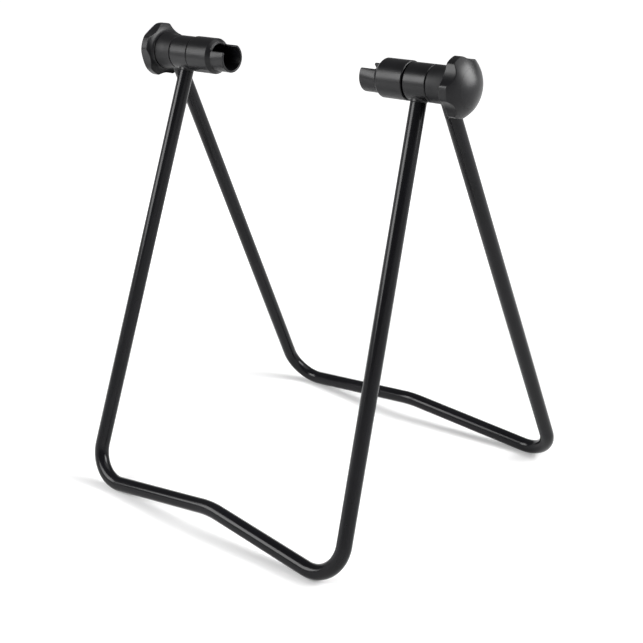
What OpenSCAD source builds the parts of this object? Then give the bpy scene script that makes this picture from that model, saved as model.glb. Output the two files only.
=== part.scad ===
// Folding paddock stand that lifts a bicycle's wheel by its hub ends.
// Two bent tube frames cross at two moulded heads. X runs along the head axis, the front is -Y,
// and the origin is on the floor at the middle of the footprint.

/* [Frame tubes] */
// Outside diameter of the frame tube
tube_d = 12.7; // [11:0.1:13.5]
// Wall of the frame tube
tube_wall = 1.2; // [0.9:0.1:1.8]
// Centreline radius of the corner bends
bend_r = 28; // [20:1:40]
// Centreline radius of the kink in the middle of each base bar
kink_r = 80; // [40:5:150]
// Outward lean of the front legs, degrees
front_lean = 2.85; // [2.2:0.05:3.2]
// Outward lean of the rear legs, degrees
rear_lean = 2.25; // [2:0.05:4]
// Rise of each half of a base bar towards the middle, degrees
bar_rise = 7; // [3:0.5:10]
// Extra diameter of the tube in its bends
bend_swell = 0.04; // [0.02:0.01:0.1]
// Length that a straight runs into the bend at its end
bend_lap = 0.4; // [0.2:0.1:1]

/* [Stance] */
// Height of the head axis above the floor
head_h = 370; // [330:1:420]
// How far the front bar's low points lie in front of the head axis
front_reach = 121; // [90:1:150]
// Gap left between the two base bars' low points when the stand is folded flat
nest_gap = 8; // [5:0.5:20]

/* [Hub sockets] */
// Clear width between the two socket tips
hub_gap = 144; // [130:1:160]
// Bore that takes a hub's axle nut
socket_bore_d = 20.5; // [18:0.5:23]
// Wall of the open tip around the bore
tip_wall = 1.9; // [1.8:0.1:3]
// Length of the open tip
tip_l = 14.5; // [12:0.5:20]
// Length of the tapered shoulder behind the tip
shoulder_l = 3.5; // [2:0.5:5]
// Outside diameter of the socket sleeve
sleeve_d = 30; // [29:0.5:34]
// Length of the socket sleeve
sleeve_l = 23; // [20:0.5:30]
// Depth of the bore from the tip
socket_depth = 33.5; // [28:0.5:34]
// Angle of the opening along the top of the tip, degrees
mouth_angle = 94; // [80:1:150]
// Turn of the right opening from straight up towards the front, degrees
right_mouth_turn = 5; // [0:1:15]
// Turn of the left opening from straight up towards the front, degrees
left_mouth_turn = 13; // [0:1:15]
// Diameter of the keyed tail that slides in the front collar
tail_d = 18; // [17.5:0.1:18.4]
// Width across the two flats of the tail
tail_flats = 15.6; // [15.2:0.1:16.5]
// Length of the keyed tail
tail_l = 20; // [19:0.5:23]
// Travel of a socket inwards from rest
feed_out = 10; // [4:0.5:10]
// Travel of a socket outwards from rest
feed_in = 0.5; // [0.2:0.1:0.8]

/* [Heads] */
// Outside diameter of the leg collars
collar_d = 28.4; // [28:0.1:32]
// Width of the front leg collar
front_collar_w = 20; // [17:0.5:24]
// Width of the rear leg collar
rear_collar_w = 15.6; // [15:0.1:20]
// Distance of the front leg from its collar's inner face, on the axis
front_leg_inset = 8.1; // [6.4:0.1:9]
// Distance of the rear leg from its collar's inner face, on the axis
rear_leg_inset = 7.6; // [7.5:0.1:8]
// Radius added to the rear collar where it flares towards the knob
collar_flare = 1.5; // [0:0.25:3]
// Length of the rear collar before its flare
collar_straight = 5.2; // [3:0.1:8]
// Gap between the socket sleeve and the front collar at rest
feed_gap = 1; // [0.9:0.1:5]
// Diameter of the spigot that the rear collar turns on
spigot_d = 21.5; // [21:0.1:22]
// Thickness of the bulkhead that holds the feed screw
bulkhead_t = 4; // [3:0.5:5]
// Length of leg neck that shows below the front collar
front_neck_l = 1.5; // [1:0.5:10]
// Length of leg neck that shows below the rear collar
rear_neck_l = 11; // [4:0.5:16]
// Length of the peg inside each leg tube
peg_l = 25; // [20:1:40]
// Chamfer of a peg's end
peg_chamfer = 1.5; // [0.5:0.25:2]
// Diameter of the pin that holds a leg on its peg
leg_pin_d = 4; // [3:0.5:5]
// Length of the pin that holds a leg on its peg
leg_pin_l = 8.4; // [7.5:0.1:9.5]
// Place of the fold stop's lug, degrees up from the rear
lug_at = 90; // [60:5:120]
// Angle that the fold stop's lug spans, degrees
lug_angle = 20; // [12:1:30]
// Radial thickness of the fold stop's lug
lug_t = 1.5; // [1:0.1:1.8]
// Length of the fold stop's lug
lug_l = 2.4; // [1.5:0.1:4]

/* [Knobs] */
// Diameter over the knob's lobes
knob_d = 46; // [44:0.2:54]
// Depth of the hollows between the lobes
lobe_depth = 3.3; // [1.5:0.1:4]
// Radius of the hollows between the lobes
lobe_r = 21; // [16:1:40]
// Number of lobes
lobes = 5; // [4:1:7]
// Length of the flared skirt behind the rim
skirt_l = 3.3; // [2.6:0.1:8]
// Width of the rim
rim_w = 6.2; // [5:0.1:9]
// Rounding of the rim's two edges
rim_round = 1.1; // [0.6:0.1:1.6]
// Height of the dome in front of the rim
dome_h = 10.3; // [8:0.1:12]
// Diameter of the cap in the middle of the dome
cap_d = 30; // [26:0.5:32]
// Thickness of the knob's floor under the screw's head
hub_floor_t = 6; // [5:0.5:7]
// Turn of the right knob's first lobe from the rear, degrees
right_knob_turn = 41; // [0:1:72]
// Turn of the left knob's first lobe from the rear, degrees
left_knob_turn = 15; // [0:1:72]

/* [Hardware] */
// Diameter of the feed screw
screw_d = 8; // [6.5:0.5:8]
// Width across flats of the screw's head and of its nut
hex_af = 13; // [12.5:0.5:13]
// Height of the screw's head
screw_head_h = 5.3; // [4:0.1:6]
// Chamfer of the screw's end
screw_point = 1; // [0.5:0.1:1.5]
// Length of screw left past the nut, and of hole left past the screw, at the ends of the travel
screw_spare = 1.5; // [1:0.1:2]
// Thickness of the nut
nut_h = 6.5; // [5:0.1:8]
// Outside diameter of the thrust washer
washer_d = 27; // [24:0.5:28]
// Thickness of the thrust washer
washer_t = 1; // [0.6:0.1:1.5]
// Outside diameter of the retaining clip
clip_d = 13; // [11:0.5:15]
// Thickness of the retaining clip
clip_t = 1; // [0.6:0.1:1.5]
// Depth of the clip's groove in the screw
clip_groove = 0.7; // [0.4:0.1:1]
// Opening of the clip as a share of its bore
clip_open = 0.9; // [0.8:0.05:0.95]

/* [Clearances] */
// Radial clearance of turning and sliding fits
running_fit = 0.1; // [0.05:0.01:0.1]
// Radial clearance of pieces that are put together once
seat_fit = 0.05; // [0.02:0.01:0.1]
// Radial clearance of holes that the screw only passes through
screw_hole_fit = 0.5; // [0.3:0.1:0.6]
// Gap between moving faces
face_gap = 0.4; // [0.3:0.1:0.6]
// Play of the screw along its axis
screw_play = 0.1; // [0.05:0.05:0.2]
// Play of the fold at each end of its travel, degrees
stop_play = 0.5; // [0.2:0.1:1]
// Rounding of the collars' and sleeves' edges
edge_r = 0.8; // [0.4:0.1:1]

/* [Hidden] */
$fn = 96;

gloss_black = "#17171a";
satin_black = "#333336";
zinc = "#b9bcc0";

// Cuts run this far past a face
over = 1;
// Chords in each curve of a section
curve_steps = 8;

// Stations along the head axis, outwards from the middle of the stand
tip_x = hub_gap / 2;
shoulder_x = tip_x + tip_l;
sleeve_x = shoulder_x + shoulder_l;
tail_x = sleeve_x + sleeve_l;
tail_end_x = tail_x + tail_l;
front_collar_x = tail_x + feed_gap;
front_collar_end_x = front_collar_x + front_collar_w;
rear_collar_x = front_collar_end_x + face_gap;
rear_collar_end_x = rear_collar_x + rear_collar_w;
spigot_end_x = rear_collar_end_x + face_gap;
bulkhead_x = spigot_end_x - bulkhead_t;
knob_seat_x = spigot_end_x + washer_t + screw_play;
rim_x = spigot_end_x + skirt_l;
dome_x = rim_x + rim_w;
knob_end_x = dome_x + dome_h;

// The nut lies at the tail's outer end, and the screw still fills it at full travel
nut_x = tail_end_x - nut_h;
screw_end_x = nut_x - feed_out - screw_spare;
screw_hole_x = screw_end_x - feed_in - screw_spare;
screw_head_x = knob_seat_x + hub_floor_t;
cap_x = screw_head_x + screw_head_h + screw_play;
clip_x = bulkhead_x - screw_play - clip_t;
hex_r = hex_af / 2 / cos(30);

// The dome is part of a sphere that runs smoothly into the rounding of the rim's outer edge
rim_r = knob_d / 2;
flare_r = rim_r - rim_round;
dome_r = (flare_r * flare_r + dome_h * (dome_h + 2 * rim_round)) / (2 * dome_h);
dome_centre_x = knob_end_x - dome_r;
dome_edge_angle = atan2(dome_x - rim_round - dome_centre_x, flare_r);
dome_edge_r = dome_r * cos(dome_edge_angle);
cap_r = cap_d / 2;
cap_edge_x = dome_centre_x + sqrt(dome_r * dome_r - cap_r * cap_r);

// Legs and frames: distances down a frame's plane are measured from the head axis
front_leg_x = front_collar_x + front_leg_inset;
rear_leg_x = rear_collar_x + rear_leg_inset;
front_neck_end = collar_d / 2 + front_neck_l;
rear_neck_end = collar_d / 2 + rear_neck_l;
peg_d = tube_d - 2 * tube_wall - 2 * seat_fit;
leg_pin_down = peg_l / 2;
head_rise = head_h - tube_d / 2;
front_low = norm([head_rise, front_reach]);
rear_low = front_low + tube_d + nest_gap;
rear_reach = sqrt(rear_low * rear_low - head_rise * head_rise);
front_tilt = atan2(front_reach, head_rise);
rear_tilt = atan2(rear_reach, head_rise);
fold_angle = front_tilt + rear_tilt;
head_y = (front_reach - rear_reach) / 2;

// The fold stop: a lug on the rear collar runs in an arc slot of the front collar
lug_r = spigot_d / 2 + face_gap;

function arc(cx, cy, r, from, to) =
  [for (i = [0:curve_steps]) let (a = from + (to - from) * i / curve_steps)
    [cx + r * cos(a), cy + r * sin(a)]];

// Half section of a solid barrel with rounded edges, as [radius, station]
function barrel(r, x0, x1, round) = concat(
  [[0, x0]],
  arc(r - round, x0 + round, round, -90, 0),
  arc(r - round, x1 - round, round, 0, 90),
  [[0, x1]]);

// Half section of a barrel that is straight, then flares with the square of the distance to its end
function flared_barrel(r, x0, x1, straight, flare, round) = concat(
  [[0, x0]],
  arc(r - round, x0 + round, round, -90, 0),
  [for (i = [0:curve_steps]) let (t = i / curve_steps)
    [r + flare * t * t, x0 + straight + (x1 - x0 - straight) * t]],
  [[0, x1]]);

// Part of the dome's section, from one radius to another; the first steps can be left out
function dome_line(r0, r1, skip = 0) =
  [for (i = [skip:curve_steps]) let (r = r0 + (r1 - r0) * i / curve_steps)
    [r, dome_centre_x + sqrt(dome_r * dome_r - r * r)]];

// Local z runs outwards along the right head's axis, local x to the rear and local y up
module on_axis() {
  translate([0, head_y, head_h]) rotate([90, 0, 90]) children();
}

// A frame's plane, hanging from the head axis
module on_plane(tilt) {
  translate([0, head_y, head_h]) rotate([tilt, 0, 0]) children();
}

// Local z runs down a right leg from the head axis, and local y to the rear
module down_leg(leg_x, lean) {
  translate([leg_x, 0, 0]) rotate([0, 180 - lean, 0]) children();
}

module left() {
  mirror([1, 0, 0]) children();
}

module bar_between(p, q, d) {
  translate([p[0], 0, p[1]])
    rotate([0, atan2(q[0] - p[0], q[1] - p[1]), 0])
      cylinder(h = norm(q - p), d = d);
}

module bend(centre, r, from, turn, d) {
  translate([centre[0], 0, centre[1]]) rotate([90, 0, 0]) rotate([0, 0, from])
    rotate_extrude(angle = turn) translate([r, 0]) circle(d = d + bend_swell);
}

// One frame's path in its plane, drawn at diameter d, from the legs' tops at distance top
module frame_path(leg_x, lean, low, top, d) {
  bend_turn = 90 + lean + bar_rise;
  // Distance from a corner bend's end to where its two straights would meet
  bend_tangent = bend_r * tan(bend_turn / 2);
  // The straights would meet lower than the bend's lowest point
  corner_down = low + bend_tangent * sin(bar_rise) - bend_r * (1 - cos(bar_rise));
  corner = [leg_x + corner_down * tan(lean), -corner_down];
  leg_dir = [sin(lean), -cos(lean)];
  bar_dir = [-cos(bar_rise), sin(bar_rise)];
  kink = [0, corner[1] + corner[0] * tan(bar_rise)];
  leg_top = [leg_x, 0] + top * leg_dir;
  leg_end = corner - bend_tangent * leg_dir;
  bar_start = corner + bend_tangent * bar_dir;
  bar_end = kink - kink_r * tan(bar_rise) * bar_dir;
  bend_centre = leg_end - bend_r * [cos(lean), sin(lean)];
  for (side = [0, 1]) mirror([side, 0, 0]) {
    bar_between(leg_top, leg_end + bend_lap * leg_dir, d);
    bend(bend_centre, bend_r, -90 - bar_rise, bend_turn, d);
    bar_between(bar_start - bend_lap * bar_dir, bar_end + bend_lap * bar_dir, d);
  }
  bend(kink - [0, kink_r / cos(bar_rise)], kink_r, 90 - bar_rise, 2 * bar_rise, d);
}

// Pin that enters a leg from behind, through the tube and into the peg, or its hole, which has a fit
// and runs past the tube
module leg_pin(neck_end, fit, past) {
  translate([0, tube_d / 2 - leg_pin_l - fit, neck_end + leg_pin_down]) rotate([-90, 0, 0])
    cylinder(h = leg_pin_l + fit + past, d = leg_pin_d + 2 * fit);
}

module frame_tube(leg_x, lean, low, tilt, neck_end) {
  color(gloss_black) on_plane(tilt) difference() {
    frame_path(leg_x, lean, low, neck_end, tube_d);
    frame_path(leg_x, lean, low, neck_end - over, tube_d - 2 * tube_wall);
    for (side = [0, 1]) mirror([side, 0, 0]) down_leg(leg_x, lean) leg_pin(neck_end, seat_fit, over);
  }
}

module front_frame_tube() {
  frame_tube(front_leg_x, front_lean, front_low, -front_tilt, front_neck_end);
}

module rear_frame_tube() {
  frame_tube(rear_leg_x, rear_lean, rear_low, rear_tilt, rear_neck_end);
}

module leg_pins(leg_x, lean, tilt, neck_end) {
  color(zinc) on_plane(tilt)
    for (side = [0, 1]) mirror([side, 0, 0]) down_leg(leg_x, lean) leg_pin(neck_end, 0, 0);
}

module front_pins() {
  leg_pins(front_leg_x, front_lean, -front_tilt, front_neck_end);
}

module rear_pins() {
  leg_pins(rear_leg_x, rear_lean, rear_tilt, rear_neck_end);
}

// Neck that the tube's end sits on, and the peg inside the tube
module leg_peg(root, neck_end) {
  translate([0, 0, root]) cylinder(h = neck_end - root, d = tube_d);
  translate([0, 0, neck_end]) cylinder(h = peg_l - peg_chamfer, d = peg_d);
  translate([0, 0, neck_end + peg_l - peg_chamfer])
    cylinder(h = peg_chamfer, d1 = peg_d, d2 = peg_d - 2 * peg_chamfer);
}

// Round bar with two flats, the shape of the socket's tail and of its bore
module double_d(x0, x1, fit) {
  length = x1 - x0;
  translate([0, 0, x0]) intersection() {
    cylinder(h = length, d = tail_d + 2 * fit);
    translate([-tail_flats / 2 - fit, -tail_d, 0]) cube([tail_flats + 2 * fit, 2 * tail_d, length]);
  }
}

// Part of a ring
module ring_sector(r0, r1, x0, x1, from, turn) {
  rotate([0, 0, from]) rotate_extrude(angle = turn)
    polygon([[r0, x0], [r1, x0], [r1, x1], [r0, x1]]);
}

// The neck of the front leg starts halfway through the collar's wall
module front_collar() {
  neck_root = (tail_d + collar_d) / 4;
  slot_turn = lug_angle + fold_angle + 2 * stop_play;
  color(satin_black) difference() {
    union() {
      on_axis() rotate_extrude()
        polygon(barrel(collar_d / 2, front_collar_x, front_collar_end_x, edge_r));
      on_axis() translate([0, 0, front_collar_x])
        cylinder(h = spigot_end_x - front_collar_x, d = spigot_d);
      on_plane(-front_tilt) down_leg(front_leg_x, front_lean) leg_peg(neck_root, front_neck_end);
    }
    on_axis() double_d(front_collar_x - over, bulkhead_x, running_fit);
    on_axis() translate([0, 0, bulkhead_x - over])
      cylinder(h = bulkhead_t + 2 * over, d = screw_d + 2 * running_fit);
    on_axis() ring_sector(
      lug_r - face_gap, lug_r + lug_t + face_gap, front_collar_end_x - lug_l, front_collar_end_x + over,
      lug_at + lug_angle / 2 + stop_play - slot_turn, slot_turn);
    on_plane(-front_tilt) down_leg(front_leg_x, front_lean) leg_pin(front_neck_end, seat_fit, over);
  }
}

// The neck of the rear leg starts halfway through the collar's wall
module rear_collar() {
  neck_root = (spigot_d + collar_d) / 4;
  color(satin_black) difference() {
    union() {
      on_axis() rotate_extrude() polygon(flared_barrel(
        collar_d / 2, rear_collar_x, rear_collar_end_x, collar_straight, collar_flare, edge_r));
      on_plane(rear_tilt) down_leg(rear_leg_x, rear_lean) leg_peg(neck_root, rear_neck_end);
      on_axis() ring_sector(lug_r, lug_r + lug_t, rear_collar_x - lug_l, rear_collar_x + over,
        lug_at - lug_angle / 2, lug_angle);
    }
    on_axis() translate([0, 0, rear_collar_x - lug_l - over])
      cylinder(h = rear_collar_w + lug_l + 2 * over, d = spigot_d + 2 * running_fit);
    on_plane(rear_tilt) down_leg(rear_leg_x, rear_lean) leg_pin(rear_neck_end, seat_fit, over);
  }
}

module socket(mouth_turn) {
  tip_r = socket_bore_d / 2 + tip_wall;
  sleeve_r = sleeve_d / 2;
  color(satin_black) on_axis() difference() {
    union() {
      rotate_extrude() polygon(concat(
        [[0, tip_x]],
        arc(tip_r - edge_r, tip_x + edge_r, edge_r, -90, 0),
        [[tip_r, shoulder_x], [sleeve_r, sleeve_x]],
        arc(sleeve_r - edge_r, tail_x - edge_r, edge_r, 0, 90),
        [[0, tail_x]]));
      double_d(tail_x - over, tail_end_x, 0);
    }
    translate([0, 0, tip_x - over]) cylinder(h = socket_depth + over, d = socket_bore_d);
    ring_sector(0, sleeve_d, tip_x - over, shoulder_x, 90 - mouth_angle / 2 + mouth_turn, mouth_angle);
    translate([0, 0, screw_hole_x])
      cylinder(h = tail_end_x - screw_hole_x + over, d = screw_d + 2 * screw_hole_fit);
    translate([0, 0, nut_x]) rotate([0, 0, 30])
      cylinder(h = nut_h + over, r = hex_r + seat_fit, $fn = 6);
  }
}

module socket_nut() {
  color(zinc) on_axis() difference() {
    translate([0, 0, nut_x]) rotate([0, 0, 30]) cylinder(h = nut_h, r = hex_r, $fn = 6);
    translate([0, 0, nut_x - over]) cylinder(h = nut_h + 2 * over, d = screw_d + 2 * running_fit);
  }
}

module feed_screw() {
  color(zinc) on_axis() difference() {
    union() {
      translate([0, 0, screw_end_x])
        cylinder(h = screw_point, d1 = screw_d - 2 * screw_point, d2 = screw_d);
      translate([0, 0, screw_end_x + screw_point])
        cylinder(h = screw_head_x - screw_end_x - screw_point, d = screw_d);
      translate([0, 0, screw_head_x]) cylinder(h = screw_head_h, r = hex_r, $fn = 6);
    }
    translate([0, 0, clip_x - seat_fit]) difference() {
      cylinder(h = clip_t + 2 * seat_fit, d = screw_d + over);
      cylinder(h = clip_t + 2 * seat_fit, d = screw_d - 2 * clip_groove);
    }
  }
}

// Open ring that snaps into the screw's groove
module retaining_clip() {
  inner_r = screw_d / 2 - clip_groove + seat_fit;
  mouth = 2 * inner_r * clip_open;
  color(zinc) on_axis() difference() {
    translate([0, 0, clip_x]) cylinder(h = clip_t, d = clip_d);
    translate([0, 0, clip_x - over]) cylinder(h = clip_t + 2 * over, r = inner_r);
    translate([-mouth / 2, 0, clip_x - over]) cube([mouth, clip_d, clip_t + 2 * over]);
  }
}

module thrust_washer() {
  color(zinc) on_axis() difference() {
    translate([0, 0, spigot_end_x]) cylinder(h = washer_t, d = washer_d);
    translate([0, 0, spigot_end_x - over])
      cylinder(h = washer_t + 2 * over, d = screw_d + 2 * screw_hole_fit);
  }
}

module knob(turn) {
  lip_r = collar_d / 2 + collar_flare + face_gap;
  color(satin_black) on_axis() rotate([0, 0, turn]) difference() {
    rotate_extrude() polygon(concat(
      [[0, spigot_end_x]],
      [for (i = [0:curve_steps - 1]) let (a = 90 * i / curve_steps)
        [lip_r + (flare_r - lip_r) * (1 - cos(a)), spigot_end_x + (skirt_l - rim_round) * sin(a)]],
      arc(flare_r, rim_x, rim_round, -90, 0),
      arc(flare_r, dome_x - rim_round, rim_round, 0, dome_edge_angle),
      dome_line(dome_edge_r, cap_r, 1),
      [[0, cap_edge_x]]));
    for (i = [0:lobes - 1]) rotate([0, 0, 360 * (i + 0.5) / lobes])
      translate([rim_r - lobe_depth + lobe_r, 0, spigot_end_x - over])
        cylinder(h = knob_end_x - spigot_end_x + 2 * over, r = lobe_r);
    translate([0, 0, spigot_end_x - over])
      cylinder(h = knob_seat_x - spigot_end_x + over, d = washer_d + 2 * face_gap);
    translate([0, 0, knob_seat_x - over])
      cylinder(h = hub_floor_t + 2 * over, d = screw_d + 2 * seat_fit);
    rotate([0, 0, -turn]) translate([0, 0, screw_head_x])
      cylinder(h = knob_end_x - screw_head_x, r = hex_r + seat_fit, $fn = 6);
    translate([0, 0, cap_x]) cylinder(h = knob_end_x - cap_x, r = cap_r + seat_fit);
  }
}

module knob_cap() {
  color(satin_black) on_axis() rotate_extrude()
    polygon(concat([[0, cap_x], [cap_r, cap_x]], dome_line(cap_r, 0)));
}

front_frame_tube();  // front_tube
rear_frame_tube();  // rear_tube
left() front_collar();  // front_collar_left
front_collar();  // front_collar_right
left() rear_collar();  // rear_collar_left
rear_collar();  // rear_collar_right
front_pins();  // front_leg_pins
rear_pins();  // rear_leg_pins
left() socket(left_mouth_turn);  // socket_left
socket(right_mouth_turn);  // socket_right
left() socket_nut();  // socket_nut_left
socket_nut();  // socket_nut_right
left() feed_screw();  // feed_screw_left
feed_screw();  // feed_screw_right
left() retaining_clip();  // retaining_clip_left
retaining_clip();  // retaining_clip_right
left() thrust_washer();  // thrust_washer_left
thrust_washer();  // thrust_washer_right
left() knob(left_knob_turn);  // knob_left
knob(right_knob_turn);  // knob_right
left() knob_cap();  // knob_cap_left
knob_cap();  // knob_cap_right
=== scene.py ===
import bmesh
import bpy
import numpy as np
from mathutils import Euler, Matrix, Vector


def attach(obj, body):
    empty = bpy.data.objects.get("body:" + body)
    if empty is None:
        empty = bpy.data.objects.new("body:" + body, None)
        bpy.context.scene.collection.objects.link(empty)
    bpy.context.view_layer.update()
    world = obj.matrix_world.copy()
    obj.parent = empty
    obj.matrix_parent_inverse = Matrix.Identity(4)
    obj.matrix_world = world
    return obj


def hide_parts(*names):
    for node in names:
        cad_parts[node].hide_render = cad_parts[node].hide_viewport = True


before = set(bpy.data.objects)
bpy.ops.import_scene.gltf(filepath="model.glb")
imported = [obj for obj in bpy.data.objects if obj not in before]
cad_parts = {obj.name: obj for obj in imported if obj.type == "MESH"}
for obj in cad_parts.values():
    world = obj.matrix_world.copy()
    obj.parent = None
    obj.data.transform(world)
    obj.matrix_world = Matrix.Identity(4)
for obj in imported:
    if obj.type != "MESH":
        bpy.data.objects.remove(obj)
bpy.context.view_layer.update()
print("frame loaded:", len(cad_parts), "nodes")

# measures that the pieces share, in mm; the head axis runs along X
stand = {
    "headHeight": 370.0,   # head axis above the floor
    "frontReach": 121.0,   # head axis to the front frame's lowest point, along the floor
    "nestGap": 8.0,        # between the base bars when the stand is folded
    "tubeR": 6.35, "tubeWall": 1.2, "collarR": 14.2,
    "roundSteps": 96,      # columns round a turned piece
    "edgeSteps": 5,        # chords in a rounded edge
    "sharpDeg": 32.0,      # faces that meet at more than this keep a crisp edge
    "leastCosine": 0.05,   # keeps the distance to a flat finite along its own direction
}
metresInMm = 0.001
weldDistance = 1e-7        # in m, joins the points of a pole
white = (1.0, 1.0, 1.0, 1.0)
headRise = stand["headHeight"] - stand["tubeR"]
frontLow = np.hypot(headRise, stand["frontReach"])
rearLow = frontLow + 2 * stand["tubeR"] + stand["nestGap"]
rearReach = np.sqrt(rearLow ** 2 - headRise ** 2)
headCentre = np.array([0.0, (stand["frontReach"] - rearReach) / 2, stand["headHeight"]])

# lengths along the head axis, and the stations that they give from the middle of the stand outwards
headLengths = {
    "hubGap": 144.0, "tip": 14.5, "shoulder": 3.5, "sleeve": 23.0, "tail": 20.0, "feedGap": 1.0,
    "frontCollar": 20.0, "rearCollar": 15.6, "faceGap": 0.4,
}
tipX = headLengths["hubGap"] / 2
shoulderX = tipX + headLengths["tip"]
sleeveX = shoulderX + headLengths["shoulder"]
sleeveEndX = sleeveX + headLengths["sleeve"]
tailEndX = sleeveEndX + headLengths["tail"]
frontCollarX = sleeveEndX + headLengths["feedGap"]
frontCollarEndX = frontCollarX + headLengths["frontCollar"]
rearCollarX = frontCollarEndX + headLengths["faceGap"]
rearCollarEndX = rearCollarX + headLengths["rearCollar"]
spigotEndX = rearCollarEndX + headLengths["faceGap"]   # the knob turns against this face

sides = {"left": -1.0, "right": 1.0}
turnAngles = np.linspace(0.0, 2.0 * np.pi, stand["roundSteps"], endpoint=False)


# mesh makers

def shellFaces(rows, columns, rowsClose):
    # quads between neighbouring rows; columns always close, rows only in a ring-shaped shell
    r = np.arange(rows if rowsClose else rows - 1)[:, None]
    c = np.arange(columns)[None, :]
    row, nextRow, nextColumn = r * columns, (r + 1) % rows * columns, (c + 1) % columns
    corners = [row + c, row + nextColumn, nextRow + nextColumn, nextRow + c]
    return np.stack([np.broadcast_to(k, (len(r), columns)) for k in corners], -1).reshape(-1, 4)


def makeMesh(name, points, quads):
    mesh = bpy.data.meshes.new(name)
    mesh.from_pydata(points.tolist(), [], quads.tolist())
    work = bmesh.new()
    work.from_mesh(mesh)
    bmesh.ops.remove_doubles(work, verts=work.verts, dist=weldDistance)
    bmesh.ops.recalc_face_normals(work, faces=work.faces)
    work.to_mesh(mesh)
    work.free()
    mesh.polygons.foreach_set("use_smooth", np.ones(len(mesh.polygons), bool))
    return mesh


def makePiece(name, shells, body, finish, replaced):
    # each shell is (points[row, column, xyz] in mm, whether its rows close)
    points, quads, start = [], [], 0
    for grid, rowsClose in shells:
        rows, columns = grid.shape[:2]
        points.append(grid.reshape(-1, 3) * metresInMm)
        quads.append(shellFaces(rows, columns, rowsClose) + start)
        start += rows * columns
    mesh = makeMesh(name, np.concatenate(points), np.concatenate(quads))
    mesh.set_sharp_from_angle(angle=np.radians(stand["sharpDeg"]))
    mesh.materials.append(finish)
    piece = bpy.data.objects.new(name, mesh)
    bpy.context.scene.collection.objects.link(piece)
    evenNormals = piece.modifiers.new("evenNormals", "WEIGHTED_NORMAL")
    evenNormals.keep_sharp = True
    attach(piece, body)
    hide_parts(replaced)


def cornerArc(cx, cr, radius, fromDeg, toDeg):
    # quarter of a circle in a turned section: station = cx + radius sin a, radius = cr + radius cos a
    a = np.radians(np.linspace(fromDeg, toDeg, stand["edgeSteps"] + 1))
    return np.stack([cx + radius * np.sin(a), cr + radius * np.cos(a)], -1)


def turned(station, radius, side, angles=turnAngles):
    # a section turned round the head axis: x = side * station, y = head + r cos t, z = head + r sin t;
    # station and radius are a column of values, or a grid where the section changes with the angle
    station, radius, t = np.broadcast_arrays(station, radius, angles)
    return headCentre + np.stack([side * station, radius * np.cos(t), radius * np.sin(t)], -1)


def turnedAbout(section, origin, along, across):
    # the same about any axis: point = origin + along * station + r (across cos t + third sin t)
    section = np.asarray(section, float)
    third = np.cross(along, across)
    ring = across * np.cos(turnAngles)[:, None] + third * np.sin(turnAngles)[:, None]
    return origin + section[:, :1, None] * along + section[:, 1:, None] * ring


def hexRadius(flat, angles):
    # distance to the side of a hexagon whose corners point up and down
    return flat / np.cos(np.mod(angles, np.pi / 3) - np.pi / 6)


# materials

def linearColour(hexText):
    # written sRGB colour to the linear one that the renderer takes
    s = np.array([int(hexText[i:i + 2], 16) for i in (1, 3, 5)]) / 255.0
    return (*np.where(s <= 0.04045, s / 12.92, ((s + 0.055) / 1.055) ** 2.4), 1.0)


def addNode(tree, kind, settings=None, **links):
    # one node with its settings; an input is named, or given by its number as i0, i1 and so on,
    # and is set to a value or linked to another node's output
    node = tree.nodes.new(kind)
    for key, value in (settings or {}).items():
        setattr(node, key, value)
    for key, value in links.items():
        byNumber = key[0] == "i" and key[1:].isdigit()
        socket = node.inputs[int(key[1:]) if byNumber else key.replace("_", " ")]
        if isinstance(value, bpy.types.NodeSocket):
            tree.links.new(value, socket)
        else:
            socket.default_value = value
    return node


def perMetre(sizeMm):
    # texture scale whose features are about sizeMm across
    return 1.0 / (sizeMm * metresInMm)


def newMaterial(name):
    material = bpy.data.materials.new(name)
    material.use_nodes = True
    tree = material.node_tree
    tree.nodes.clear()
    output = tree.nodes.new("ShaderNodeOutputMaterial")
    place = addNode(tree, "ShaderNodeTexCoord").outputs["Object"]
    return material, tree, output, place


# gloss black powder coat, sprayed and baked on steel tube: deep black, a clear narrow highlight,
# a faint orange-peel ripple (0.8 mm in life, drawn at twice that to show) and slow changes of gloss
powderCoat = {
    "colour": "#08080a", "paler": "#131316", "cloudMm": 45.0, "cloudDetail": 3.0,
    "roughness": (0.14, 0.22), "gloss": 0.21, "ior": 1.45, "metal": 0.0,
    "relief": "ShaderNodeTexNoise", "reliefSettings": {},
    "reliefMm": 1.6, "reliefDetail": 2.0, "reliefDepth": 0.00002, "reliefStrength": 0.35,
}
# black glass-filled nylon, injection moulded in a spark-eroded tool: soft satin sheen, slightly
# cloudy where it flowed, and a fine even grain (0.25 mm in life, drawn coarser to show)
mouldedNylon = {
    "colour": "#0c0c0e", "paler": "#141416", "cloudMm": 18.0, "cloudDetail": 4.0,
    "roughness": (0.31, 0.38), "gloss": 0.21, "ior": 1.53, "metal": 0.0,
    "relief": "ShaderNodeTexVoronoi", "reliefSettings": {"feature": "SMOOTH_F1"},
    "reliefMm": 0.9, "reliefDetail": 0.0, "reliefDepth": 0.00004, "reliefStrength": 0.4,
}
mattNylon = dict(mouldedNylon, roughness=(0.46, 0.56))   # the rear collars look duller than the rest
# bright zinc plate on turned steel: pale grey metal, cloudy passivation, fine turning marks
zincPlate = {
    "colour": "#b4b7ba", "paler": "#d2d4d6", "cloudMm": 6.0, "cloudDetail": 4.0,
    "roughness": (0.26, 0.42), "gloss": 0.5, "ior": 1.5, "metal": 1.0,
    "relief": "ShaderNodeTexNoise", "reliefSettings": {},
    "reliefMm": 0.7, "reliefDetail": 1.0, "reliefDepth": 0.00002, "reliefStrength": 0.3,
}
cloudRange = (0.3, 0.7)   # where most of a cloud texture's values lie


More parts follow.
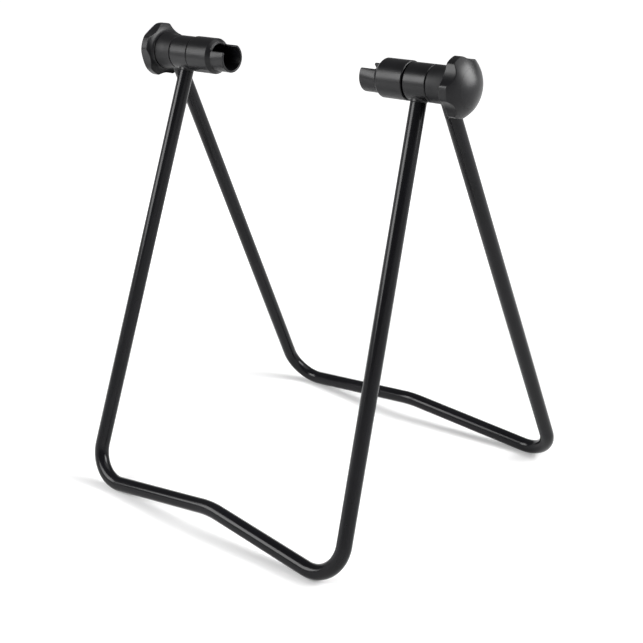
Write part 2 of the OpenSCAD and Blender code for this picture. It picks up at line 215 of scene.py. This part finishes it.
def makeSurface(name, look):
    # slow clouds change the colour and the roughness, and a fine texture raises the relief
    material, tree, output, place = newMaterial(name)
    cloud = addNode(tree, "ShaderNodeTexNoise", Vector=place, Scale=perMetre(look["cloudMm"]),
                    Detail=look["cloudDetail"])
    relief = addNode(tree, look["relief"], look["reliefSettings"], Vector=place,
                     Scale=perMetre(look["reliefMm"]), Detail=look["reliefDetail"])
    tint = addNode(tree, "ShaderNodeMix", {"data_type": "RGBA"}, Factor=cloud.outputs[0],
                   i6=linearColour(look["colour"]), i7=linearColour(look["paler"]))
    rough = addNode(tree, "ShaderNodeMapRange", Value=cloud.outputs[0],
                    From_Min=cloudRange[0], From_Max=cloudRange[1],
                    To_Min=look["roughness"][0], To_Max=look["roughness"][1])
    bump = addNode(tree, "ShaderNodeBump", Strength=look["reliefStrength"], Distance=look["reliefDepth"],
                   Height=relief.outputs[0])
    shader = addNode(tree, "ShaderNodeBsdfPrincipled", Base_Color=tint.outputs[2], Roughness=rough.outputs[0],
                     Normal=bump.outputs[0], Metallic=look["metal"], IOR=look["ior"],
                     Specular_IOR_Level=look["gloss"])
    tree.links.new(shader.outputs[0], output.inputs["Surface"])
    return material


coatFinish = makeSurface("powderCoatGlossBlack", powderCoat)
nylonFinish = makeSurface("mouldedNylonSatinBlack", mouldedNylon)
mattFinish = makeSurface("mouldedNylonMattBlack", mattNylon)
zincFinish = makeSurface("zincPlatedSteel", zincPlate)
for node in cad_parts.values():
    node.data.materials.clear()
    node.data.materials.append(zincFinish)
print("materials made:", coatFinish.name, nylonFinish.name, mattFinish.name, zincFinish.name)


# frame tubes

frames = {
    "front": {"legInset": 8.1, "leanDeg": 2.85, "neck": 1.5, "toRear": -1.0},
    "rear": {"legInset": 7.6, "leanDeg": 2.25, "neck": 11.0, "toRear": 1.0},
}
for f, collarX, low, reach in ((frames["front"], frontCollarX, frontLow, stand["frontReach"]),
                               (frames["rear"], rearCollarX, rearLow, rearReach)):
    f.update(legX=collarX + f["legInset"], low=low, tilt=np.arctan2(reach, headRise),
             neckEnd=stand["collarR"] + f["neck"])
tubeShape = {
    "bendR": 28.0, "kinkR": 80.0, "riseDeg": 7.0, "lip": 0.4, "columns": 40,
    "kinkSteps": 8, "barSteps": 8, "bendSteps": 32, "legSteps": 16, "lipSteps": 4,
}


def frameAxes(f):
    # up in the frame's plane, and the plane's normal
    up = np.array([0.0, -f["toRear"] * np.sin(f["tilt"]), np.cos(f["tilt"])])
    return up, np.cross([1.0, 0.0, 0.0], up)


def legAxes(f, side):
    # a leg's top on the head axis, its way down, and the way out of the frame's plane to the rear
    up, normal = frameAxes(f)
    lean = np.radians(f["leanDeg"])
    top = headCentre + np.array([side * f["legX"], 0.0, 0.0])
    down = np.array([side * np.sin(lean), 0.0, 0.0]) - np.cos(lean) * up
    return top, down, normal if normal[1] > 0 else -normal


def halfPath(f, shape):
    # right half of a frame's centreline from the middle of the base bar to the leg's top, as
    # (x, up, heading): straights keep their heading; on an arc, point = centre + r (cos, sin)(heading -/+ 90)
    lean, rise = np.radians(f["leanDeg"]), np.radians(shape["riseDeg"])
    turn = np.pi / 2 + lean + rise
    tangent = shape["bendR"] * np.tan(turn / 2)
    down = f["low"] + tangent * np.sin(rise) - shape["bendR"] * (1 - np.cos(rise))
    corner = np.array([f["legX"] + down * np.tan(lean), -down])
    legWay = np.array([-np.sin(lean), np.cos(lean)])
    legStart = corner + tangent * legWay
    legEnd = np.array([f["legX"], 0.0]) - f["neckEnd"] * legWay
    barEnd = corner - tangent * np.array([np.cos(rise), -np.sin(rise)])
    kinkCentre = np.array([0.0, corner[1] + corner[0] * np.tan(rise) - shape["kinkR"] / np.cos(rise)])
    bendCentre = legStart - shape["bendR"] * np.array([np.cos(lean), np.sin(lean)])
    legHeading = np.pi / 2 + lean

    def arc(centre, radius, fromHeading, toHeading, steps, quarter):
        headings = np.linspace(fromHeading, toHeading, steps + 1)
        return np.stack([centre[0] + radius * np.cos(headings + quarter),
                         centre[1] + radius * np.sin(headings + quarter), headings], -1)

    def straight(a, b, heading, steps):
        t = np.linspace(0, 1, steps + 2)[1:-1, None]
        return np.concatenate([a + (b - a) * t, np.full((steps, 1), heading)], -1)

    kink = arc(kinkCentre, shape["kinkR"], 0, -rise, shape["kinkSteps"], np.pi / 2)
    bend = arc(bendCentre, shape["bendR"], -rise, legHeading, shape["bendSteps"], -np.pi / 2)
    return np.concatenate([
        kink,
        straight(kink[-1, :2], barEnd, -rise, shape["barSteps"]),
        bend,
        straight(legStart, legEnd, legHeading, shape["legSteps"]),
        [[*legEnd, legHeading]]])


def tubeShell(f, shape):
    # circle carried along the whole centreline, outside and back inside, with rounded lips at both ends:
    # point = centreline + along * way + r (cos t * across + sin t * normal)
    right = halfPath(f, shape)
    left = right[:0:-1] * [-1, 1, -1]
    path = np.concatenate([left, right])
    outer, inner, lip = stand["tubeR"], stand["tubeR"] - stand["tubeWall"], shape["lip"]
    a = np.radians(np.linspace(0, 90, shape["lipSteps"] + 1))
    lipOut = np.stack([lip * (np.sin(a) - 1), outer - lip + lip * np.cos(a)], -1)
    lipIn = np.stack([lip * (np.cos(a) - 1), inner + lip - lip * np.sin(a)], -1)
    endLip = np.concatenate([lipOut, lipIn])
    body = path[1:-1]
    rows = np.concatenate([
        np.column_stack([np.repeat(path[:1], len(endLip), 0), -endLip[::-1, 0], endLip[::-1, 1]]),
        np.column_stack([body, np.zeros(len(body)), np.full(len(body), outer)]),
        np.column_stack([np.repeat(path[-1:], len(endLip), 0), endLip]),
        np.column_stack([body[::-1], np.zeros(len(body)), np.full(len(body), inner)])])
    x, height, heading, along, radius = rows.T[..., None]
    up, normal = frameAxes(f)
    level = np.array([1.0, 0.0, 0.0])
    way = np.cos(heading) * level + np.sin(heading) * up
    across = -np.sin(heading) * level + np.cos(heading) * up
    centre = headCentre + x * level + height * up + along * way
    t = np.linspace(0, 2 * np.pi, shape["columns"], endpoint=False)[None, :, None]
    return centre[:, None] + radius[..., None] * (np.cos(t) * across[:, None] + np.sin(t) * normal)


for which in frames:
    makePiece(which + "TubeCoated", [(tubeShell(frames[which], tubeShape), True)], which + "_frame",
              coatFinish, which + "_tube")
print("frame tubes swept")


# leg pins

legPeg = {"radius": 5.1, "length": 25.0, "chamfer": 1.5, "neckEdge": 0.3, "root": 11.2}
legPin = {"radius": 2.0, "length": 8.4, "edge": 0.4, "proud": 0.2}


def pinShell(f, side, pin):
    # short turned pin with rounded ends, entered from behind through the tube into the peg
    top, down, outward = legAxes(f, side)
    inEnd, outEnd = stand["tubeR"] - pin["length"], stand["tubeR"] + pin["proud"]
    section = np.concatenate([
        [[inEnd, 0.0]],
        cornerArc(inEnd + pin["edge"], pin["radius"] - pin["edge"], pin["edge"], -90, 0),
        cornerArc(outEnd - pin["edge"], pin["radius"] - pin["edge"], pin["edge"], 0, 90),
        [[outEnd, 0.0]]])
    return turnedAbout(section, top + down * (f["neckEnd"] + legPeg["length"] / 2), outward, down)


for which in frames:
    pins = [(pinShell(frames[which], side, legPin), False) for side in sides.values()]
    makePiece(which + "LegPinsPlated", pins, which + "_frame", zincFinish, which + "_leg_pins")
print("leg pins turned")


# collars

frontCollar = {
    "x0": frontCollarX, "x1": frontCollarEndX, "edge": 0.8, "fillet": 1.4,
    "spigotR": 10.75, "spigotEdge": 0.3, "bulkhead": 4.0, "screwHoleR": 4.1,
    "boreR": 9.1, "boreFlat": 7.9, "boreEdge": 0.4,
}
rearCollar = {
    "x0": rearCollarX, "x1": rearCollarEndX, "edge": 0.8, "fillet": 2.6,
    "boreR": 10.85, "boreEdge": 0.3, "straight": 5.2, "flare": 1.5, "flareEdge": 0.5, "flareSteps": 11,
}
neckFillet = {"steps": 8, "sink": 0.03, "deep": 1.2}   # its ends dip below both surfaces


def neckShell(f, side, peg):
    # neck and peg turned round the leg: the tube's end sits on the neck, the peg is inside the tube
    top, down, outward = legAxes(f, side)
    neckEnd, root, neckR = f["neckEnd"], peg["root"], stand["tubeR"]
    pegEnd = neckEnd + peg["length"]
    section = np.concatenate([
        [[root, 0.0], [root, neckR]],
        cornerArc(neckEnd - peg["neckEdge"], neckR - peg["neckEdge"], peg["neckEdge"], 0, 90),
        [[neckEnd, peg["radius"]], [pegEnd - peg["chamfer"], peg["radius"]],
         [pegEnd, peg["radius"] - peg["chamfer"]], [pegEnd, 0.0]]])
    return turnedAbout(section, top, down, outward)


def filletShell(f, side, collar, roll):
    # rolled corner between the barrel and the neck: for each way round the neck a curve
    # (1-t)^2 A + 2t(1-t) K + t^2 B from the barrel A past the crease K to the neck B, closed inside the wall
    barrelR = stand["collarR"]
    top, down, outward = legAxes(f, side)
    across = outward * np.cos(turnAngles)[:, None] + np.cross(down, outward) * np.sin(turnAngles)[:, None]
    foot = top + stand["tubeR"] * across - headCentre
    # where the neck's straight lines leave the barrel: |foot + s down| = radius, across the head axis
    a = down[1:] @ down[1:]
    b = foot[:, 1:] @ down[1:]
    c = (foot[:, 1:] ** 2).sum(-1) - barrelR ** 2
    s = (-b + np.sqrt(b * b - a * c)) / a
    crease = foot + s[:, None] * down
    outOfBarrel = crease * [0.0, 1.0, 1.0] / barrelR
    slide = across - (across * outOfBarrel).sum(-1, keepdims=True) * outOfBarrel
    slide /= np.linalg.norm(slide, axis=-1, keepdims=True)
    onBarrel = crease + collar["fillet"] * slide
    faces = collar["x0"] + collar["edge"], collar["x1"] - collar["edge"]
    onBarrel[:, 0] = side * np.clip(side * onBarrel[:, 0], *faces)
    radial = np.linalg.norm(onBarrel[:, 1:], axis=-1, keepdims=True)
    onBarrel[:, 1:] *= (barrelR - roll["sink"]) / radial
    onNeck = foot + (s + collar["fillet"])[:, None] * down - roll["sink"] * across
    inside = crease - roll["deep"] * (outOfBarrel + across)
    t = np.linspace(0, 1, roll["steps"] + 1)[:, None, None]
    curve = (1 - t) ** 2 * onBarrel + 2 * t * (1 - t) * crease + t ** 2 * onNeck
    return headCentre + np.concatenate([curve, inside[None]])


def frontBarrel(collar, side):
    # barrel, and the spigot that the rear collar turns on, with the socket's keyed bore inside
    x0, x1, radius = collar["x0"], collar["x1"], stand["collarR"]
    e, be, se = collar["edge"], collar["boreEdge"], collar["spigotEdge"]
    bulkheadX = spigotEndX - collar["bulkhead"]
    section = np.concatenate([
        cornerArc(x0 + be, collar["boreR"] + be, be, 180, 270),
        cornerArc(x0 + e, radius - e, e, -90, 0),
        [[x0 + 2 * e, radius], [x1 - 2 * e, radius]],
        cornerArc(x1 - e, radius - e, e, 0, 90),
        [[x1, collar["spigotR"]]],
        cornerArc(spigotEndX - se, collar["spigotR"] - se, se, 0, 90),
        [[spigotEndX, collar["screwHoleR"]], [bulkheadX, collar["screwHoleR"]],
         [bulkheadX, collar["boreR"]]]])
    # two flats key the bore: r = min(r, r * half width / (bore radius * |cos t|)) on the rows inside it
    row = np.arange(len(section))[:, None]
    inBore = (row <= stand["edgeSteps"]) | (row == len(section) - 1)
    flat = collar["boreFlat"] / collar["boreR"] / np.maximum(np.abs(np.cos(turnAngles)), stand["leastCosine"])
    return turned(section[:, :1], section[:, 1:] * np.where(inBore, np.minimum(1.0, flat), 1.0), side)


def rearBarrel(collar, side):
    # straight at first, then flared towards the knob as the square of the way along
    x0, x1, radius = collar["x0"], collar["x1"], stand["collarR"]
    e, fe, be = collar["edge"], collar["flareEdge"], collar["boreEdge"]
    t = np.linspace(0, 1, collar["flareSteps"] + 1)[:-1]
    flareStart, flareEnd = x0 + collar["straight"], x1 - fe
    flare = np.stack([flareStart + (flareEnd - flareStart) * t, radius + collar["flare"] * t * t], -1)
    section = np.concatenate([
        cornerArc(x0 + be, collar["boreR"] + be, be, 180, 270),
        cornerArc(x0 + e, radius - e, e, -90, 0),
        flare,
        cornerArc(flareEnd, radius + collar["flare"] - fe, fe, 0, 90),
        [[x1, collar["boreR"] + be]],
        cornerArc(x1 - be, collar["boreR"] + be, be, 90, 180)])
    return turned(section[:, :1], section[:, 1:], side)


for sideName, side in sides.items():
    for which, collar, barrel, finish in (("front", frontCollar, frontBarrel, nylonFinish),
                                          ("rear", rearCollar, rearBarrel, mattFinish)):
        shells = [(barrel(collar, side), True), (neckShell(frames[which], side, legPeg), False),
                  (filletShell(frames[which], side, collar, neckFillet), True)]
        makePiece(which + "Collar" + sideName.title(), shells, which + "_frame", finish,
                  which + "_collar_" + sideName)
print("collars turned")


# hub sockets

hubSocket = {
    "boreR": 10.25, "boreDepth": 33.5, "boreRound": 0.6, "tipR": 12.15, "sleeveR": 15.0,
    "mouthDeg": 94.0, "mouthCorner": 1.2, "mouthTurnDeg": {"left": 13.0, "right": 5.0},
    "lip": 0.7, "edge": 0.8, "taperEdge": 0.2, "fan": 0.28,
    "tailR": 9.0, "tailFlat": 7.8, "tailEdge": 0.4,
    "nutHeight": 6.5, "nutFlat": 6.55, "screwHoleR": 4.5, "screwRoom": 13.5,
    "behindMouth": 1.2,    # from the mouth's end to the first full row of the bore
    "tipMargin": 0.3,      # least distance from the lip to the row behind it
    "bottomSteps": 35, "cornerSteps": 6, "sideRows": 10, "topSteps": 11,   # along half of the mouth's edge
}


def mouthRim(s):
    # the open tip's edge unrolled: angle from the bottom round to the bottom again against station;
    # the sides of the mouth run along the axis and the corners are rounded
    half = np.radians(s["mouthDeg"] / 2)
    mean = (s["boreR"] + s["tipR"]) / 2
    corner = s["mouthCorner"]
    depth = shoulderX - tipX
    edge = (np.pi - half) * mean              # from the bottom to the mouth's side
    a = np.linspace(0, np.pi / 2, s["cornerSteps"] + 1)
    round1 = np.stack([edge - corner + corner * np.sin(a), corner - corner * np.cos(a)], -1)
    sideX = np.linspace(corner, depth - corner, s["sideRows"] + 2)[1:-1]
    side = np.stack([np.full(s["sideRows"], edge), sideX], -1)
    round2 = np.stack([edge + corner - corner * np.cos(a), depth - corner + corner * np.sin(a)], -1)
    bottomArc = np.linspace(0, edge - corner, s["bottomSteps"] + 1)[:-1]
    bottom = np.stack([bottomArc, np.zeros(s["bottomSteps"])], -1)
    topArc = np.linspace(edge + corner, np.pi * mean, s["topSteps"] + 1)[1:]
    top = np.stack([topArc, np.full(s["topSteps"], depth)], -1)
    half1 = np.concatenate([bottom, round1, side, round2, top])
    half2 = half1[-2:0:-1] * [-1, 1] + [2 * np.pi * mean, 0]
    rim = np.concatenate([half1, half2])
    ahead, behind = np.roll(rim, -1, 0), np.roll(rim, 1, 0)
    ahead[-1, 0] += 2 * np.pi * mean
    behind[0, 0] -= 2 * np.pi * mean
    way = ahead - behind
    way /= np.linalg.norm(way, axis=-1, keepdims=True)
    inward = np.stack([-way[:, 1], way[:, 0]], -1)
    return rim, inward, mean


def socketShell(s, side, mouthTurn):
    # rows from the bore's floor out along the bore, over the tip's rounded lip, back along the outside to
    # the keyed tail, and into the tail's nut pocket and screw hole; each point is (angle, station, radius)
    rim, inward, mean = mouthRim(s)
    count = len(rim)
    # angles of the full rows: the rim's own, spread a little so that the rows fan out beside the mouth
    spread = np.linspace(0, 2 * np.pi, count, endpoint=False)
    fan = (1 - s["fan"]) * rim[:, 0] / mean + s["fan"] * spread + mouthTurn

    def ring(station, radius, angle=fan):
        return np.stack(np.broadcast_arrays(angle, station, radius), -1)

    def lipRow(back, radius):
        # the rim moved into the wall by back
        moved = rim + inward * back
        return ring(tipX + moved[:, 1], radius, moved[:, 0] / mean + mouthTurn)

    def outside(station):
        # radius of the tip, and of the taper behind it
        taper = (s["sleeveR"] - s["tipR"]) / (sleeveX - shoulderX)
        return s["tipR"] + taper * np.maximum(station - shoulderX, 0.0)

    a = np.radians(np.linspace(0, 90, stand["edgeSteps"] + 1))
    lip, e, te, boreR = s["lip"], s["edge"], s["tailEdge"], s["boreR"]
    inner = [lipRow(lip * (1 - np.sin(k)), boreR + lip * (1 - np.cos(k))) for k in a]
    outer = [lipRow(lip * (1 - np.cos(k)), s["tipR"] - lip * (1 - np.sin(k))) for k in a]
    # where the tip's outside meets the taper
    tipEnd = np.maximum(outer[-1][:, 1] + s["tipMargin"], shoulderX)
    taperEnd = sleeveX - s["taperEdge"]
    tail = np.minimum(s["tailR"], s["tailFlat"] / np.maximum(np.abs(np.sin(fan)), stand["leastCosine"]))
    pocket = hexRadius(s["nutFlat"], fan - np.pi / 2)
    floorX = tipX + s["boreDepth"]
    nutX = tailEndX - s["nutHeight"]
    screwHoleX = nutX - s["screwRoom"]
    boreFloor = cornerArc(floorX - s["boreRound"], boreR - s["boreRound"], s["boreRound"], 90, 0)
    sleeveEdge = cornerArc(sleeveEndX - e, s["sleeveR"] - e, e, 0, 90)
    rows = [ring(floorX, 0.0)]
    rows += [ring(x, r) for x, r in boreFloor]
    rows += [ring(shoulderX + s["behindMouth"], boreR)] + inner + outer
    rows += [ring(tipEnd, outside(tipEnd)), ring(taperEnd, outside(taperEnd)),
             ring(sleeveX + s["taperEdge"], s["sleeveR"])]
    rows += [ring(x, r) for x, r in sleeveEdge]
    rows += [ring(sleeveEndX, tail), ring(tailEndX - te, tail), ring(tailEndX, tail - te),
             ring(tailEndX, pocket), ring(nutX, pocket), ring(nutX, s["screwHoleR"]),
             ring(screwHoleX, s["screwHoleR"]), ring(screwHoleX, 0.0)]
    angle, station, radius = np.moveaxis(np.array(rows), -1, 0)
    return headCentre + np.stack([side * station, radius * np.sin(angle), -radius * np.cos(angle)], -1)


for sideName, side in sides.items():
    mouthTurn = np.radians(hubSocket["mouthTurnDeg"][sideName])   # from straight up to the front
    makePiece("hubSocket" + sideName.title(), [(socketShell(hubSocket, side, mouthTurn), False)],
              "socket_" + sideName, nylonFinish, "socket_" + sideName)
print("hub sockets made")


# hand knobs

handKnob = {
    "lipR": 16.1, "skirt": 3.3, "rimWidth": 6.2, "rimR": 23.0, "rimRound": 1.1, "backRound": 0.7,
    "domeHeight": 10.3, "lobes": 5, "lobeDepth": 3.3, "lobeR": 21.0, "lobeBlend": 1.6, "columns": 240,
    "turnDeg": {"left": 15.0, "right": 41.0},
    "capR": 15.0, "capFit": 0.05, "capEdge": 0.03, "edgeMiddle": 0.3,
    "washerR": 13.9, "washerDeep": 1.1, "hubFloor": 6.0, "headDeep": 5.4, "headFlat": 6.55,
    "screwHoleR": 4.05,
    "domeSteps": 11, "rimSteps": 6, "backSteps": 5, "skirtSteps": 9,   # chords in the parts of the section
}
washerSeatX = spigotEndX + handKnob["washerDeep"]
screwHeadX = washerSeatX + handKnob["hubFloor"]
capSeatX = screwHeadX + handKnob["headDeep"]


def knobDome(k):
    # the dome's sphere touches the rounding of the rim's edge: its radius and the station of its centre
    top = spigotEndX + k["skirt"] + k["rimWidth"] + k["domeHeight"]
    reach = k["rimR"] - k["rimRound"]
    radius = (reach ** 2 + k["domeHeight"] * (k["domeHeight"] + 2 * k["rimRound"])) / (2 * k["domeHeight"])
    return radius, top - radius


def lobedRadius(k, angles, turnDeg):
    # outer radius round the knob: each hollow is a circle, r = c cos t - sqrt(lobeR^2 - (c sin t)^2),
    # joined to the rim's circle by a smooth minimum, min(a, b) - blend/4 max(1 - |a - b|/blend, 0)^2
    pitch = 2 * np.pi / k["lobes"]
    t = np.mod(angles - np.radians(turnDeg), pitch) - pitch / 2
    centre = k["rimR"] - k["lobeDepth"] + k["lobeR"]
    under = k["lobeR"] ** 2 - (centre * np.sin(t)) ** 2
    hollow = np.where(under > 0, centre * np.cos(t) - np.sqrt(np.maximum(under, 0)), 2 * k["rimR"])
    near = np.clip(1 - np.abs(hollow - k["rimR"]) / k["lobeBlend"], 0, 1)
    return np.minimum(hollow, k["rimR"]) - k["lobeBlend"] / 4 * near ** 2


def knobShell(k, side, turnDeg):
    # every column has its own section, so the rounded edges follow the lobes and the hollows; from the
    # back: washer recess, screw hole, pocket of the screw's head, cap seat, dome, rim and flared skirt
    angles = np.linspace(0, 2 * np.pi, k["columns"], endpoint=False)
    outer = lobedRadius(k, angles, turnDeg)
    sphere, centre = knobDome(k)
    seatR, e, rr, br = k["capR"] + k["capFit"], k["capEdge"], k["rimRound"], k["backRound"]
    pocket = hexRadius(k["headFlat"], angles)
    seatTop = centre + np.sqrt(sphere ** 2 - (seatR + e) ** 2)
    # front edge: a circle of rimRound that touches the wall and the dome from inside
    inward = outer - rr
    ahead = np.sqrt((sphere - rr) ** 2 - inward ** 2)
    edgeTurn = np.arctan2(ahead, inward) * np.linspace(1, 0, k["rimSteps"] + 1)[:, None]
    edge = (centre + ahead + rr * np.sin(edgeTurn), inward + rr * np.cos(edgeTurn))
    outward = np.linspace(0, 1, k["domeSteps"] + 1)[:-1, None]
    domeR = (seatR + e) + (edge[1][0] - seatR - e) * outward
    # the skirt flares as a quarter ellipse: r = lip + (flare - lip)(1 - cos a), station = back + length sin a
    flare = (outer - br - k["lipR"]) * np.linspace(1, 0, k["skirtSteps"] + 1)[:, None] ** 2
    cosine = 1 - flare / (k["rimR"] - rr - k["lipR"])
    skirt = (spigotEndX + (k["skirt"] - rr) * np.sqrt(np.maximum(1 - cosine ** 2, 0)), k["lipR"] + flare)
    b = np.radians(np.linspace(0, 90, k["backSteps"] + 1))[:-1, None]
    backEdge = (skirt[0][0] + br * (1 - np.sin(b)), outer - br * (1 - np.cos(b)))
    middle = k["edgeMiddle"] * e
    rows = [(spigotEndX, k["washerR"]), (washerSeatX, k["washerR"]), (washerSeatX, k["screwHoleR"]),
            (screwHeadX, k["screwHoleR"]), (screwHeadX, pocket), (capSeatX, pocket), (capSeatX, seatR),
            (seatTop - e, seatR), (seatTop - middle, seatR + middle),
            (centre + np.sqrt(sphere ** 2 - domeR ** 2), domeR), edge, backEdge, skirt]
    grids = [np.broadcast_arrays(x, r, angles[None])[:2] for x, r in rows]
    station, radius = (np.concatenate(part) for part in zip(*grids))
    return turned(station, radius, side, angles)


def capShell(k, side):
    # domed cap over the screw's head: station = centre + sqrt(sphere^2 - r^2), with a fine edge
    sphere, centre = knobDome(k)
    e = k["capEdge"]
    r = np.linspace(0.0, k["capR"] - e, k["domeSteps"] + 1)
    top = np.stack([centre + np.sqrt(sphere ** 2 - r ** 2), r], -1)
    edgeX = top[-1, 0]
    middle = k["edgeMiddle"] * e
    section = np.concatenate([
        top,
        [[edgeX - middle, k["capR"] - middle], [edgeX - e, k["capR"]], [capSeatX, k["capR"]],
         [capSeatX, 0.0]]])
    return turned(section[:, :1], section[:, 1:], side)


for sideName, side in sides.items():
    knob = knobShell(handKnob, side, handKnob["turnDeg"][sideName])
    makePiece("handKnob" + sideName.title(), [(knob, True)], "knob_" + sideName, nylonFinish,
              "knob_" + sideName)
    makePiece("knobCap" + sideName.title(), [(capShell(handKnob, side), False)], "knob_" + sideName,
              nylonFinish, "knob_cap_" + sideName)
print("hand knobs made")


# floor, light and camera

studio = {
    "firstRing": 0.05, "floorRadius": 5.5, "sweepRadius": 7.2, "sweepHeight": 1.6,
    "floorSteps": 24, "sweepSteps": 8, "floorColumns": 64,
    "floorColour": "#eeeeee", "fill": 0.20,
    "lift": {"near": 0.10, "far": 0.85, "from": 0.28, "to": 1.03},
    "softboxes": [
        # azimuth and elevation of the lamp as seen from its aim and the spread of its beam in degrees,
        # lengths in m, watts
        {"name": "keySoftbox", "aim": (0.0, 0.0, 0.15), "azimuth": -33.5, "elevation": 27.0,
         "distance": 1.7, "size": (0.96, 0.88), "watts": 29.0, "spread": 180.0},
        {"name": "backSoftbox", "aim": (0.165, -0.03, 0.37), "azimuth": 122.0, "elevation": 23.0,
         "distance": 0.8, "size": (0.62, 0.6), "watts": 3.8, "spread": 80.0},
        {"name": "topSoftbox", "aim": (0.0, 0.0, 0.0), "azimuth": 126.0, "elevation": 58.0,
         "distance": 1.7, "size": (1.6, 1.4), "watts": 14.0, "spread": 180.0},
    ],
}
photoView = {
    "place": (0.64042, -0.76406, 0.51647), "turnDeg": (69.496, 0.174, 39.841),
    "lens": 67.418, "sensor": 36.0, "clip": (0.05, 50.0),
}


def makeFloor(look):
    # flat disc in polar rows with an outer sweep that rises as 1 - cos; the camera sees it white,
    # with the shadow that the lamps leave on it
    rise = np.linspace(0, 1, look["sweepSteps"] + 1)[1:]
    flat = np.concatenate([[0.0], np.geomspace(look["firstRing"], look["floorRadius"], look["floorSteps"])])
    radii = np.concatenate([flat, look["floorRadius"] + (look["sweepRadius"] - look["floorRadius"]) * rise])
    heights = np.concatenate([0 * flat, look["sweepHeight"] * (1 - np.cos(rise * np.pi / 2))])
    t = np.linspace(0, 2 * np.pi, look["floorColumns"], endpoint=False)
    grid = np.stack(np.broadcast_arrays(
        radii[:, None] * np.cos(t), radii[:, None] * np.sin(t), heights[:, None]), -1)
    mesh = makeMesh("floor", grid.reshape(-1, 3), shellFaces(len(radii), len(t), False))
    floor = bpy.data.objects.new("floor", mesh)
    bpy.context.scene.collection.objects.link(floor)
    # matt white paint; away from the lamps the camera and reflections see it lifted to white
    material, tree, output, place = newMaterial("paintedFloorWhite")
    paint = addNode(tree, "ShaderNodeBsdfDiffuse", Color=linearColour(look["floorColour"]))
    away = addNode(tree, "ShaderNodeVectorMath", {"operation": "LENGTH"}, i0=place)
    amount = addNode(tree, "ShaderNodeMapRange", {"interpolation_type": "SMOOTHSTEP"},
                     Value=away.outputs["Value"], From_Min=look["lift"]["from"], From_Max=look["lift"]["to"],
                     To_Min=look["lift"]["near"], To_Max=look["lift"]["far"])
    lift = addNode(tree, "ShaderNodeEmission", Color=white, Strength=amount.outputs["Result"])
    both = addNode(tree, "ShaderNodeAddShader", i0=paint.outputs[0], i1=lift.outputs[0])
    seen = addNode(tree, "ShaderNodeMixShader", i0=seenRays(tree), i1=paint.outputs[0], i2=both.outputs[0])
    tree.links.new(seen.outputs[0], output.inputs["Surface"])
    mesh.materials.append(material)


def seenRays(tree):
    # 1 for rays from the camera and for those that gloss or glass sends on
    path = addNode(tree, "ShaderNodeLightPath")
    some = addNode(tree, "ShaderNodeMath", {"operation": "MAXIMUM"}, i0=path.outputs["Is Camera Ray"],
                   i1=path.outputs["Is Glossy Ray"])
    every = addNode(tree, "ShaderNodeMath", {"operation": "MAXIMUM"}, i0=some.outputs[0],
                    i1=path.outputs["Is Transmission Ray"])
    return every.outputs[0]


def makeWorld(look):
    world = bpy.data.worlds.new("paleStudio")
    world.use_nodes = True
    tree = world.node_tree
    tree.nodes.clear()
    output = tree.nodes.new("ShaderNodeOutputWorld")
    sky = addNode(tree, "ShaderNodeBackground", Color=white, Strength=look["fill"])
    tree.links.new(sky.outputs[0], output.inputs["Surface"])
    bpy.context.scene.world = world


def makeSoftbox(box):
    azimuth, elevation = np.radians(box["azimuth"]), np.radians(box["elevation"])
    level = np.cos(elevation)
    back = Vector((np.sin(azimuth) * level, -np.cos(azimuth) * level, np.sin(elevation)))
    lamp = bpy.data.lights.new(box["name"], "AREA")
    lamp.shape = "RECTANGLE"
    lamp.size, lamp.size_y = box["size"]
    lamp.energy = box["watts"]
    lamp.spread = np.radians(box["spread"])   # a grid on the box narrows its beam
    thing = bpy.data.objects.new(box["name"], lamp)
    bpy.context.scene.collection.objects.link(thing)
    turn = back.to_track_quat("Z", "Y").to_matrix().to_4x4()
    thing.matrix_world = Matrix.Translation(Vector(box["aim"]) + back * box["distance"]) @ turn


def makeCamera(view):
    camera = bpy.data.cameras.new("photoCamera")
    camera.sensor_width = view["sensor"]
    camera.lens = view["lens"]
    camera.clip_start, camera.clip_end = view["clip"]
    thing = bpy.data.objects.new("photoCamera", camera)
    bpy.context.scene.collection.objects.link(thing)
    turn = Euler(np.radians(view["turnDeg"])).to_matrix().to_4x4()
    thing.matrix_world = Matrix.Translation(Vector(view["place"])) @ turn
    bpy.context.scene.camera = thing


makeFloor(studio)
makeWorld(studio)
for box in studio["softboxes"]:
    makeSoftbox(box)
makeCamera(photoView)
bpy.context.scene.view_settings.view_transform = "Standard"
print("studio set")
